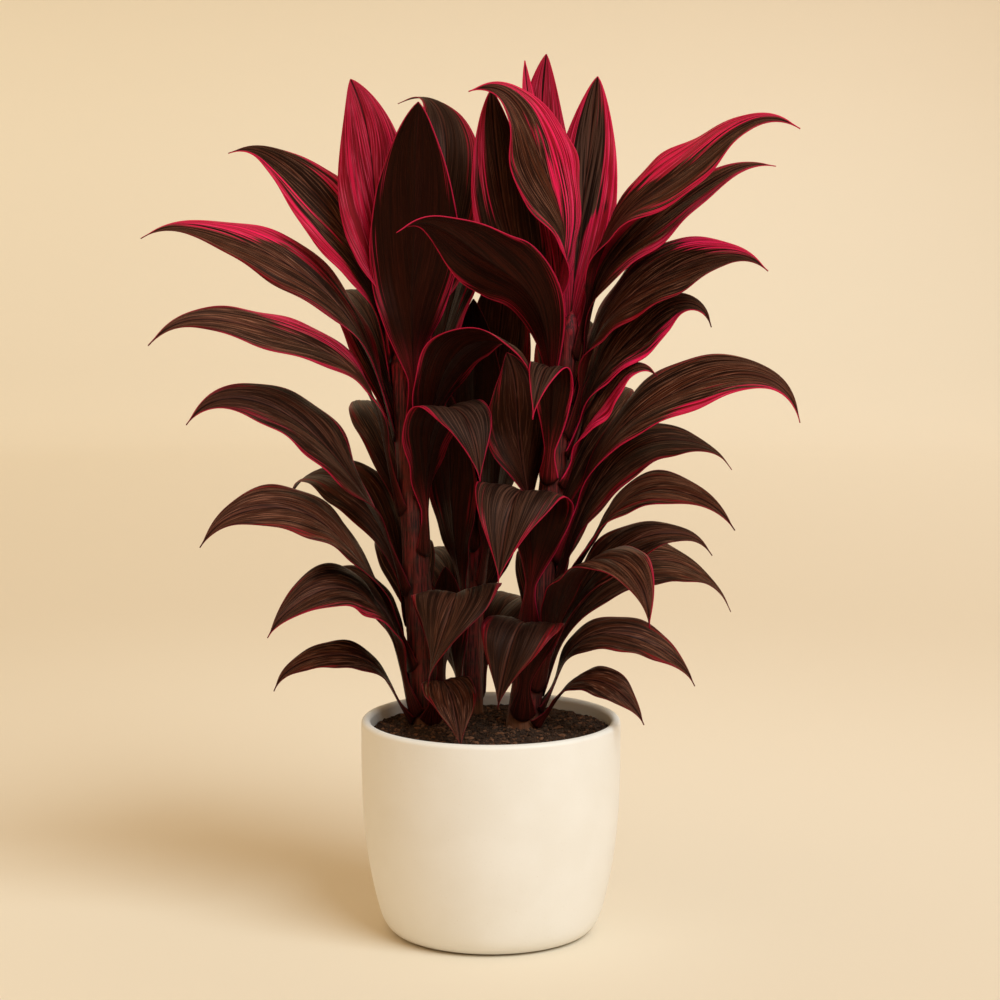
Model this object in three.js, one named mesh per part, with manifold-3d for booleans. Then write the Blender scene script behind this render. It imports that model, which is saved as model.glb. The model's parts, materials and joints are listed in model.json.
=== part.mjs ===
// A potted ti plant: three leafy canes in potting mix, in a plain round-bottomed ceramic pot.
// Millimetres, +Z up. The origin is the centre of the pot's underside.
import * as THREE from 'three';
import { mergeVertices } from 'three/addons/utils/BufferGeometryUtils.js';
import Module from 'manifold-3d';

const wasm = await Module();
wasm.setup();

// Pot
const POT_RADIUS = 140;
const POT_HEIGHT = 235;
const POT_WALL = 10;
const POT_FLOOR = 14;
const POT_FLOOR_RADIUS = 96;
const POT_SIDES = 44;
// The outside, from the standing face up to the straight part below the rim, as [radius, height].
const POT_OUTSIDE = [
  [96, 0], [107, 3.5], [115, 12], [121, 26], [127, 50], [132, 76], [136, 106], [139, 145], [POT_RADIUS, 185],
];
// Heights at which the inside wall follows the outside.
const INSIDE_HEIGHTS = [24, 45, 80, 125, 185];
// Angles of the points round the rim's half circle.
const RIM_ANGLES = [0, 45, 90, 135, 180];

// Potting mix
const SOIL_DEPTH_BELOW_RIM = 14;
const SOIL_DOME = 5;
const SOIL_RINGS = 6;
const SOIL_EDGE = 4;
const SOIL_TOP = POT_HEIGHT - SOIL_DEPTH_BELOW_RIM;
// Crumbs are ripples along X and Y: their height, radians per millimetre, and how far they wander.
const CRUMB_RELIEF = 1.4;
const CRUMB_PITCH = [0.31, 0.27];
const CRUMB_WANDER = [1.7, 1.3];
const WANDER_PITCH = [0.13, 0.17];

// Faces that touch keep this gap.
const GAP = 0.3;

// Canes stand at the top of the soil, root below it, and lean as their top says.
const ROOT_DEPTH = 60;
const CANE_SIDES = 10;
const HOLE_ABOVE_SOIL = 20;
// Each leaf scar is a ring: its spacing and height, and how far it reaches below and above its edge.
const SCAR_SPACING = 36;
const SCAR_HEIGHT = 0.5;
const SCAR_REACH = [2.5, 2];
// The growing tip, as [share of the cane's top radius, height above the top leaf].
const CANE_TIP = [[1, -8], [0.6, 4], [0, 12]];

// Leaf. A share is a part of the leaf's length from its base.
const STALK_HALF_WIDTH = 6.5;
const STALK_SHARE = 0.17;
// The base wraps the cane by this many cane radii on each side, up to the share.
const CLASP_WRAP = 0.85;
const CLASP_END = 0.15;
// The blade opens from the curved stalk between these shares, and the roll is reached between those below.
const BLADE_OPENS = [0.136, 0.37];
const ROLL_SHARES = [0.08, 0.6];
// The blade is widest at the peak, as a share of the blade. It closes to a long drooping point if it arches
// over, and is full to near its end if its tip rises this steeply.
const BLADE_PEAK = 0.48;
// A mature blade swells slowly from its stalk, and a pink young one is broad sooner.
const SWELL_POWERS = [1.25, 0.85];
const YOUNG_PINK = 0.5;
const CLOSING_POWERS = [1.5, 0.75];
const UPRIGHT_TIP = [20, 70];
// How far a long point turns towards straight down, and the shares between which it does.
const POINT_DROOP = 0.3;
const POINT_SHARES = [0.84, 1];
const TAIL_START = 0.9;
const TAIL_HALF_WIDTH = [1.7, 0.7];
const MIDRIB_THICKNESS = [2.6, 1.8, 1.2];
const MARGIN_THICKNESS = 0.8;
// The halves fold up from the midrib by this angle, and turn out again towards the margin.
const BLADE_FOLD = 20;
const MARGIN_TURN = 1.6;
// Waves of the margin: height as a share of the half width, number, and shift from one leaf to the next.
const WAVE_SHARE = 0.08;
const WAVES = 2.2;
const WAVE_SHIFT = 2.4;
const MIDRIB_STEPS = 90;
const BEND_STEPS = 6;
const ROWS = [0, 0.06, 0.15, 0.24, 0.34, 0.45, 0.56, 0.67, 0.78, 0.88, 0.955, 1];
const COLUMNS = [-1, -0.5, 0, 0.5, 1];
// Steps along and across a leaf over which its surface normal is measured.
const NORMAL_STEPS = [0.01, 0.02];

const MERGE_WITHIN = 0.001;

const COLOURS = {
  glaze: 0xe9dcc0,
  soil: 0x1e1410,
  bark: 0x3a1d16,
  mature: 0x2c130f,
  young: 0x8e1532,
};
const ROUGHNESS = { glaze: 0.55, soil: 0.95, bark: 0.8, leaf: 0.45 };

// Each leaf: height of its base above the soil, azimuth, length and greatest width, then how far it rises
// above level at its base, at each quarter of its length and at its tip, the roll of its blade, the sideways
// sweep of its tip, and how pink it is. Azimuth is from +X towards +Y, and -90 is the front.
const CANES = {
  left: {
    foot: [-68, 20], lean: [-31, 10, 420], height: 400, radius: [18, 10],
    leaves: [
      [4, 188, 200, 44, [66, 62, 16, -16, -50], -35, 0, 0.0],
      [4, 290, 172, 56, [76, 46, -14, -46, -56], 0, -16, 0.1],
      [12, 214, 285, 76, [82, 76, 43, -16, -34], -35, 0, 0.1],
      [16, 318, 294, 98, [82, 74, 26, -52, -64], 0, -144, 0.1],
      [38, 150, 250, 60, [82, 68, 30, -16, -46], -20, 0, 0.0],
      [60, 100, 255, 66, [82, 66, 35, -5, -45], 0, 0, 0.0],
      [62, 206, 350, 86, [84, 63, 47, 2, -34], -38, 0, 0.1],
      [108, 135, 300, 72, [84, 70, 40, 0, -45], -20, 0, 0.1],
      [145, 200, 362, 90, [83, 64, 52, 22, -30], -42, 0, 0.2],
      [165, 105, 330, 78, [84, 70, 40, 0, -45], 0, 0, 0.1],
      [187, 325, 280, 86, [88, 83, 58, -47, -86], 0, -40, 0.1],
      [232, 205, 412, 72, [82, 78, 28, 16, -20], -40, 0, 0.3],
      [243, 329, 296, 82, [88, 74, 55, -10, -76], -20, 0, 0.1],
      [258, 114, 338, 78, [86, 76, 52, 15, -30], 0, 0, 0.3],
      [292, 30, 312, 80, [82, 68, 68, 66, 62], 0, 0, 0.3],
      [312, 172, 400, 68, [84, 68, 40, 22, 2], -40, 0, 0.6],
      [316, 312, 356, 96, [84, 86, 80, 82, 76], -50, 0, 0.2],
      [340, 15, 405, 88, [78, 68, 86, 60, 12], 0, 146, 0.4],
      [366, 152, 352, 76, [87, 79, 57, 42, 20], -45, 10, 0.6],
      [397, 168, 304, 80, [88, 89, 91, 86, 70], -72, 0, 1.0],
    ],
  },
  right: {
    foot: [34, -2], lean: [50, 2, 430], height: 440, radius: [18, 10],
    leaves: [
      [4, 333, 165, 44, [64, 58, 10, -30, -42], 35, 0, 0.0],
      [12, 262, 246, 84, [82, 82, 20, -65, -80], 0, -25, 0.1],
      [18, 0, 235, 58, [74, 69, 8, -24, -44], 35, 0, 0.0],
      [36, 32, 345, 70, [80, 58, 24, -20, -40], 35, 0, 0.0],
      [44, 306, 310, 80, [80, 78, 38, -17, -72], 20, 0, 0.1],
      [54, 88, 250, 60, [80, 62, 30, -12, -45], 0, 0, 0.0],
      [66, 7, 266, 58, [77, 69, 50, 12, -32], 33, 0, 0.0],
      [108, 72, 250, 60, [82, 68, 58, 16, -12], 25, 0, 0.0],
      [95, 331, 325, 68, [82, 67, 54, -1, -28], 32, 0, 0.1],
      [108, 240, 293, 100, [88, 84, 45, -60, -80], 0, 26, 0.1],
      [132, 21, 327, 72, [78, 77, 50, 2, -28], 28, 0, 0.1],
      [166, 63, 320, 72, [84, 78, 52, 14, -32], 15, 0, 0.1],
      [204, 172, 202, 74, [84, 74, 78, 80, 62], -66, 0, 0.1],
      [182, 350, 392, 78, [78, 72, 40, 13, -62], 42, 0, 0.3],
      [232, 88, 320, 72, [84, 72, 52, 18, -35], 0, 0, 0.2],
      [268, 248, 214, 45, [86, 83, 66, -37, -80], 0, 10, 0.3],
      [296, 358, 256, 66, [80, 74, 53, 38, -60], 46, 0, 0.4],
      [264, 342, 180, 51, [80, 75, 60, 54, -24], 40, 0, 0.5],
      [317, 344, 331, 93, [84, 80, 46, 25, -12], 44, 0, 0.4],
      [308, 230, 408, 79, [86, 70, 24, 21, -2], 46, 0, 0.1],
      [370, 90, 340, 74, [80, 68, 77, 86, 93], 0, 0, 0.9],
      [386, 130, 342, 64, [80, 74, 72, 77, 92], -32, 0, 0.9],
      [353, 2, 364, 76, [84, 86, 50, 40, 30], 30, 0, 0.5],
      [336, 184, 352, 72, [83, 70, 68, 76, 80], -84, 0, 0.2],
      [402, 342, 382, 84, [88, 80, 42, 44, 4], 42, 0, 0.7],
      [406, 195, 330, 94, [80, 92, 63, 58, 0], -62, 0, 0.9],
      [424, 141, 300, 24, [82, 78, 68, 64, 78], -40, 0, 1.0],
    ],
  },
  back: {
    foot: [-22, 70], lean: [6, 12, 215], height: 200, radius: [13, 8],
    leaves: [
      [15, 60, 230, 72, [78, 66, 25, -20, -50], 0, 0, 0.0],
      [40, 118, 245, 78, [80, 68, 40, -5, -45], 0, 0, 0.0],
      [66, 74, 262, 78, [84, 77, 52, 5, -40], 0, 0, 0.0],
      [100, 218, 262, 60, [84, 78, 84, 86, 80], 22, 0, 0.0],
      [142, 320, 238, 64, [85, 80, 82, 80, 74], 0, 0, 0.0],
      [188, 46, 330, 76, [86, 85, 86, 84, 76], 38, 0, 0.1],
      [16, 208, 150, 44, [84, 76, 80, 86, 84], 52, 0, 0.0],
      [182, 250, 276, 64, [88, 87, 88, 86, 80], 0, 0, 0.1],
    ],
  },
};

const { clamp, degToRad, lerp, smoothstep } = THREE.MathUtils;
const finish = (colour, roughness) =>
  new THREE.MeshStandardMaterial({ color: colour, roughness, metalness: 0 });

function named(name, geometry, material) {
  const mesh = new THREE.Mesh(geometry, material);
  mesh.name = name;
  return mesh;
}

// A solid of revolution about Z from [radius, height] points, which start and end on the axis.
function turned(profile, sides) {
  const points = profile.map(([radius, height]) => new THREE.Vector2(radius, height));
  return new THREE.LatheGeometry(points, sides).rotateX(Math.PI / 2);
}

function potRadiusAt(height) {
  const above = POT_OUTSIDE.findIndex(([, z]) => z >= height);
  if (above < 0) return POT_RADIUS;
  if (above === 0) return POT_OUTSIDE[0][0];
  const [r0, z0] = POT_OUTSIDE[above - 1];
  const [r1, z1] = POT_OUTSIDE[above];
  return lerp(r0, r1, (height - z0) / (z1 - z0));
}

function pot() {
  const lip = POT_WALL / 2;
  const rim = RIM_ANGLES.map((angle) => [
    POT_RADIUS - lip + lip * Math.cos(degToRad(angle)),
    POT_HEIGHT - lip + lip * Math.sin(degToRad(angle)),
  ]);
  const wall = INSIDE_HEIGHTS.map((height) => [potRadiusAt(height) - POT_WALL, height]).reverse();
  const inside = [...wall, [POT_FLOOR_RADIUS, POT_FLOOR], [0, POT_FLOOR]];
  return turned([[0, 0], ...POT_OUTSIDE, ...rim, ...inside], POT_SIDES);
}

// A closed geometry as a solid that can be cut.
function solidOf(geometry) {
  const bare = geometry.clone();
  bare.deleteAttribute('normal');
  bare.deleteAttribute('uv');
  const merged = mergeVertices(bare, MERGE_WITHIN);
  return new wasm.Manifold(new wasm.Mesh({
    numProp: 3,
    vertProperties: merged.attributes.position.array,
    triVerts: new Uint32Array(merged.index.array),
  }));
}

function geometryOf(solid) {
  const { vertProperties, triVerts, numProp } = solid.getMesh();
  const positions = new Float32Array((vertProperties.length / numProp) * 3);
  for (let i = 0; i < positions.length / 3; i++) {
    positions.set(vertProperties.subarray(i * numProp, i * numProp + 3), i * 3);
  }
  const geometry = new THREE.BufferGeometry();
  geometry.setAttribute('position', new THREE.BufferAttribute(positions, 3));
  geometry.setIndex(new THREE.BufferAttribute(new Uint32Array(triVerts), 1));
  return geometry;
}

// Height of the mix at a point: a low dome with crumbs on it.
function soilHeight(x, y) {
  const reach = Math.hypot(x, y) / (POT_RADIUS - POT_WALL);
  const alongX = Math.sin(CRUMB_PITCH[0] * x + CRUMB_WANDER[0] * Math.sin(WANDER_PITCH[0] * y));
  const alongY = Math.cos(CRUMB_PITCH[1] * y + CRUMB_WANDER[1] * Math.sin(WANDER_PITCH[1] * x));
  return SOIL_TOP + SOIL_DOME * (1 - reach * reach) + CRUMB_RELIEF * alongX * alongY;
}

function soil(holes) {
  const radius = POT_RADIUS - POT_WALL - GAP;
  const floor = POT_FLOOR + GAP;
  const wall = INSIDE_HEIGHTS.map((height) => [potRadiusAt(height) - POT_WALL - GAP, height]);
  const rings = Array.from({ length: SOIL_RINGS }, (_, ring) => [(radius * ring) / SOIL_RINGS, SOIL_TOP]);
  const geometry = turned([
    [0, floor], [POT_FLOOR_RADIUS - GAP, floor], ...wall, [radius, SOIL_TOP - SOIL_EDGE],
    [radius - SOIL_EDGE / 2, SOIL_TOP], ...rings.reverse(),
  ], POT_SIDES);
  const place = geometry.attributes.position;
  for (let i = 0; i < place.count; i++) {
    if (place.getZ(i) === SOIL_TOP) place.setZ(i, soilHeight(place.getX(i), place.getY(i)));
  }
  return geometryOf(holes.reduce((mix, hole) => mix.subtract(hole), solidOf(geometry)));
}

const caneRadius = ({ radius, height }, z) => lerp(radius[0], radius[1], clamp(z / height, 0, 1));

// A cane with a raised ring where each old leaf was, and a tapered growing tip.
function caneGeometry(cane) {
  const profile = [[0, -ROOT_DEPTH], [caneRadius(cane, 0), -ROOT_DEPTH], [caneRadius(cane, 0), 0]];
  for (let z = SCAR_SPACING / 2; z < cane.height - SCAR_SPACING; z += SCAR_SPACING) {
    const radius = caneRadius(cane, z);
    profile.push([radius, z - SCAR_REACH[0]], [radius + SCAR_HEIGHT, z], [radius, z + SCAR_REACH[1]]);
  }
  const top = caneRadius(cane, cane.height);
  CANE_TIP.forEach(([share, above]) => profile.push([top * share, cane.height + above]));
  return turned(profile, CANE_SIDES);
}

// The value at share t of a smooth curve through values that are evenly spaced.
function alongValues(values, t) {
  return new THREE.SplineCurve(values.map((value, i) => new THREE.Vector2(i, value))).getPoint(t).y;
}

// The blade's frame where its midrib rises and heads as given: along it, across it and up from it.
function bladeFrame(rise, heading, turn) {
  const along = new THREE.Vector3(
    Math.cos(rise) * Math.cos(heading), Math.cos(rise) * Math.sin(heading), Math.sin(rise),
  );
  const level = new THREE.Vector3(Math.sin(heading), -Math.cos(heading), 0);
  const upper = new THREE.Vector3().crossVectors(level, along);
  const side = level.clone().multiplyScalar(Math.cos(turn)).addScaledVector(upper, -Math.sin(turn));
  const face = upper.multiplyScalar(Math.cos(turn)).addScaledVector(level, Math.sin(turn));
  return { along, side, face };
}

// How upright a leaf's tip is, from 0 to 1.
const uprightness = (rises) => smoothstep(rises.at(-1), ...UPRIGHT_TIP);

// The midrib as evenly spaced points, each with the blade's frame there.
function midribOf(base, [, azimuth, length, , rises, roll, sweep]) {
  const at = base.clone();
  const stations = [];
  for (let i = 0; i <= MIDRIB_STEPS; i++) {
    const share = i / MIDRIB_STEPS;
    const droop = POINT_DROOP * (1 - uprightness(rises)) * smoothstep(share, ...POINT_SHARES);
    const rise = degToRad(lerp(alongValues(rises, share), -90, droop));
    const heading = degToRad(azimuth + sweep * share * share);
    const turn = degToRad(roll * smoothstep(share, ...ROLL_SHARES));
    const { along, side, face } = bladeFrame(rise, heading, turn);
    stations.push({ at: at.clone(), side, face });
    at.addScaledVector(along, length / MIDRIB_STEPS);
  }
  return stations;
}

function halfWidthAt(share, { width, claspRadius, swellPower, closingPower }) {
  if (share < STALK_SHARE) {
    return lerp(CLASP_WRAP * claspRadius, STALK_HALF_WIDTH, smoothstep(share, 0, CLASP_END));
  }
  const blade = (share - STALK_SHARE) / (1 - STALK_SHARE);
  if (blade < BLADE_PEAK) {
    const opening = Math.sin((Math.PI / 2) * (blade / BLADE_PEAK)) ** swellPower;
    return lerp(STALK_HALF_WIDTH, width / 2, opening);
  }
  const closed = Math.min((blade - BLADE_PEAK) / (1 - BLADE_PEAK), 1);
  const closing = Math.max(Math.cos((Math.PI / 2) * closed), 0) ** closingPower;
  return Math.max(lerp(...TAIL_HALF_WIDTH, smoothstep(share, TAIL_START, 1)), (width / 2) * closing);
}

// How far out and up the blade's section lies at a reach from the midrib.
function sectionAt(reach, half, claspRadius, blade) {
  const step = reach / BEND_STEPS;
  let out = 0;
  let up = 0;
  for (let k = 0; k < BEND_STEPS; k++) {
    const from = (k + 0.5) * step;
    const fold = degToRad(BLADE_FOLD) * (1 - (MARGIN_TURN * from) / half);
    const bend = lerp(from / claspRadius, fold, blade);
    out += step * Math.cos(bend);
    up += step * Math.sin(bend);
  }
  return { out, up };
}

// A point of the leaf's middle surface. across runs from -1 at one margin to 1 at the other.
function leafPoint(shape, share, across) {
  const { stations, claspRadius, phase } = shape;
  const exact = clamp(share, 0, 1) * MIDRIB_STEPS;
  const i = Math.min(Math.floor(exact), MIDRIB_STEPS - 1);
  const between = (key) => stations[i][key].clone().lerp(stations[i + 1][key], exact - i);
  const half = halfWidthAt(share, shape);
  const blade = smoothstep(share, ...BLADE_OPENS);
  const { out, up } = sectionAt(Math.abs(across) * half, half, claspRadius, blade);
  const wave = WAVE_SHARE * half * across * across * Math.sin(2 * Math.PI * WAVES * share + phase + across);
  return between('at')
    .addScaledVector(between('side'), Math.sign(across) * out)
    .addScaledVector(between('face'), up + blade * wave);
}

// The points of the upper face and of the under face at a share and a place across.
function facePoints(shape, share, across) {
  const [ahead, over] = NORMAL_STEPS;
  const alongLeaf = leafPoint(shape, Math.min(share + ahead, 1), across)
    .sub(leafPoint(shape, Math.max(share - ahead, 0), across));
  const acrossLeaf = leafPoint(shape, share, across + over).sub(leafPoint(shape, share, across - over));
  const normal = acrossLeaf.cross(alongLeaf).normalize();
  const rib = alongValues(MIDRIB_THICKNESS, share);
  const thickness = lerp(rib, Math.min(rib, MARGIN_THICKNESS), Math.abs(across));
  const middle = leafPoint(shape, share, across);
  const under = middle.clone().addScaledVector(normal, -thickness / 2);
  return { upper: middle.addScaledVector(normal, thickness / 2), under };
}

// Triangles of two grids of the same size, one above the other, that are joined round their edge.
function slabFaces(rows, columns) {
  const faces = [];
  const quad = (a, b, c, d) => faces.push(a, b, c, a, c, d);
  const lower = (index) => index + rows * columns;
  for (let row = 0; row < rows - 1; row++) {
    const left = row * columns;
    const right = left + columns - 1;
    for (let a = left; a < right; a++) {
      const b = a + columns + 1;
      quad(a, a + 1, b, b - 1);
      faces.push(lower(a), lower(b), lower(a + 1), lower(a), lower(b - 1), lower(b));
    }
    quad(left, left + columns, lower(left + columns), lower(left));
    quad(right, lower(right), lower(right + columns), right + columns);
  }
  const last = (rows - 1) * columns;
  for (let column = 0; column < columns - 1; column++) {
    quad(column, lower(column), lower(column + 1), column + 1);
    quad(last + column, last + column + 1, lower(last + column + 1), lower(last + column));
  }
  return faces;
}

// One leaf as a closed blade.
function leafGeometry(cane, leaf, phase) {
  const [height, azimuth, , width, rises, , , pink] = leaf;
  const claspRadius = caneRadius(cane, height) + SCAR_HEIGHT + GAP + MIDRIB_THICKNESS[0] / 2;
  const swellPower = lerp(...SWELL_POWERS, smoothstep(pink, 0, YOUNG_PINK));
  const closingPower = lerp(...CLOSING_POWERS, uprightness(rises));
  const base = new THREE.Vector3(claspRadius, 0, height)
    .applyAxisAngle(new THREE.Vector3(0, 0, 1), degToRad(azimuth));
  const stations = midribOf(base, leaf);
  const shape = { stations, claspRadius, width, swellPower, closingPower, phase };
  const points = ROWS.flatMap((share) => COLUMNS.map((across) => facePoints(shape, share, across)));
  const geometry = new THREE.BufferGeometry().setFromPoints([
    ...points.map(({ upper }) => upper), ...points.map(({ under }) => under),
  ]);
  geometry.setIndex(slabFaces(ROWS.length, COLUMNS.length));
  return geometry;
}

// A frame that stands at the soil's surface and leans with the cane.
function leaning({ foot, lean }) {
  const group = new THREE.Group();
  group.position.set(foot[0], foot[1], soilHeight(foot[0], foot[1]));
  group.quaternion.setFromUnitVectors(new THREE.Vector3(0, 0, 1), new THREE.Vector3(...lean).normalize());
  return group;
}

function hole(cane) {
  const group = leaning(cane);
  group.updateMatrixWorld(true);
  const radius = caneRadius(cane, 0) + GAP;
  const bottom = -ROOT_DEPTH - GAP;
  const profile = [[0, bottom], [radius, bottom], [radius, HOLE_ABOVE_SOIL], [0, HOLE_ABOVE_SOIL]];
  return solidOf(turned(profile, CANE_SIDES).applyMatrix4(group.matrixWorld));
}

// A cane with its leaves, numbered roughly from the lowest up.
function stem(place, cane) {
  const group = leaning(cane);
  group.add(named(`cane_${place}`, caneGeometry(cane), finish(COLOURS.bark, ROUGHNESS.bark)));
  cane.leaves.forEach((leaf, i) => {
    const [pink] = leaf.slice(-1);
    const colour = new THREE.Color(COLOURS.mature).lerp(new THREE.Color(COLOURS.young), pink);
    const name = `leaf_${place}_${String(i + 1).padStart(2, '0')}`;
    group.add(named(name, leafGeometry(cane, leaf, WAVE_SHIFT * i), finish(colour, ROUGHNESS.leaf)));
  });
  return group;
}

const plant = new THREE.Group();
plant.add(named('pot', pot(), finish(COLOURS.glaze, ROUGHNESS.glaze)));
plant.add(named('soil', soil(Object.values(CANES).map(hole)), finish(COLOURS.soil, ROUGHNESS.soil)));
plant.add(...Object.entries(CANES).map(([place, cane]) => stem(place, cane)));

export default plant;
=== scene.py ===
# A potted ti plant: three leafy canes in potting mix, in a plain round-bottomed ceramic pot.
# Each leaf, the canes, the mix and the pot are finer pieces over the solids, with the same main shapes.
import json
import math

import bmesh
import bpy
import numpy as np
from mathutils import Matrix, Vector, noise


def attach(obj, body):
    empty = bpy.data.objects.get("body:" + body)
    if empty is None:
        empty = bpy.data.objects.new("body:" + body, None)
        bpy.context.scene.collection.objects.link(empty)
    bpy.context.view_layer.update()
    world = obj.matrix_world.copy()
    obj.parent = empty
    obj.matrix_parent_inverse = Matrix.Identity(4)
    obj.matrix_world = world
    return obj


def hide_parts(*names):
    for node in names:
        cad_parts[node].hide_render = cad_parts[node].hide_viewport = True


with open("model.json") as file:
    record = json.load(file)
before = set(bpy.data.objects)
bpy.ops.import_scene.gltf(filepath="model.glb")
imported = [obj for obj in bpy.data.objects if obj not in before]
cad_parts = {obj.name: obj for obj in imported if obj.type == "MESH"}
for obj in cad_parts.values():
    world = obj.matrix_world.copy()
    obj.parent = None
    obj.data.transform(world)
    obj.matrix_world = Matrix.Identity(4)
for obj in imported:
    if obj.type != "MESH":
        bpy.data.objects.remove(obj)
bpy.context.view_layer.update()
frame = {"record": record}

MM = 0.001

# Sizes of the solids of the pot, the mix and the canes, in millimetres
POT_RADIUS = 140
POT_HEIGHT = 235
POT_WALL = 10
POT_FLOOR = 14
POT_FLOOR_RADIUS = 96
POT_OUTSIDE = [
    (96, 0), (107, 3.5), (115, 12), (121, 26), (127, 50), (132, 76), (136, 106), (139, 145), (140, 185),
]
SOIL_TOP = POT_HEIGHT - 14
SOIL_DOME = 5
SOIL_RELIEF = 1.4
# Waves of the mix: radians to a millimetre, how far they bend sideways, and how often
SOIL_WAVES_ALONG_X = (0.31, 1.7, 0.13)
SOIL_WAVES_ALONG_Y = (0.27, 1.3, 0.17)
GAP = 0.3
ROOT_DEPTH = 60
SCAR_HEIGHT = 0.5

# The leaves' solids: millimetres, degrees, and shares of a leaf's length from its base
STALK_HALF_WIDTH = 6.5
STALK_SHARE = 0.17
CLASP_WRAP = 0.85
CLASP_END = 0.15
BLADE_OPENS = (0.136, 0.37)
ROLL_SHARES = (0.08, 0.6)
BLADE_PEAK = 0.48
# A mature blade swells slowly and a young pink one sooner. An arching blade closes to a long drooping point.
SWELL_POWERS = (1.25, 0.85)
YOUNG_PINK = 0.5
CLOSING_POWERS = (1.5, 0.75)
UPRIGHT_TIP = (20, 70)
POINT_DROOP = 0.3
POINT_SHARES = (0.84, 1)
TAIL_START = 0.9
TAIL_HALF_WIDTH = (1.7, 0.7)
MIDRIB_THICKNESS = (2.6, 1.8, 1.2)
MARGIN_THICKNESS = 0.8
BLADE_FOLD = 20
MARGIN_TURN = 1.6
WAVE_SHARE = 0.08
WAVES = 2.2
WAVE_SHIFT = 2.4
MIDRIB_STEPS = 90
BEND_STEPS = 6

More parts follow.
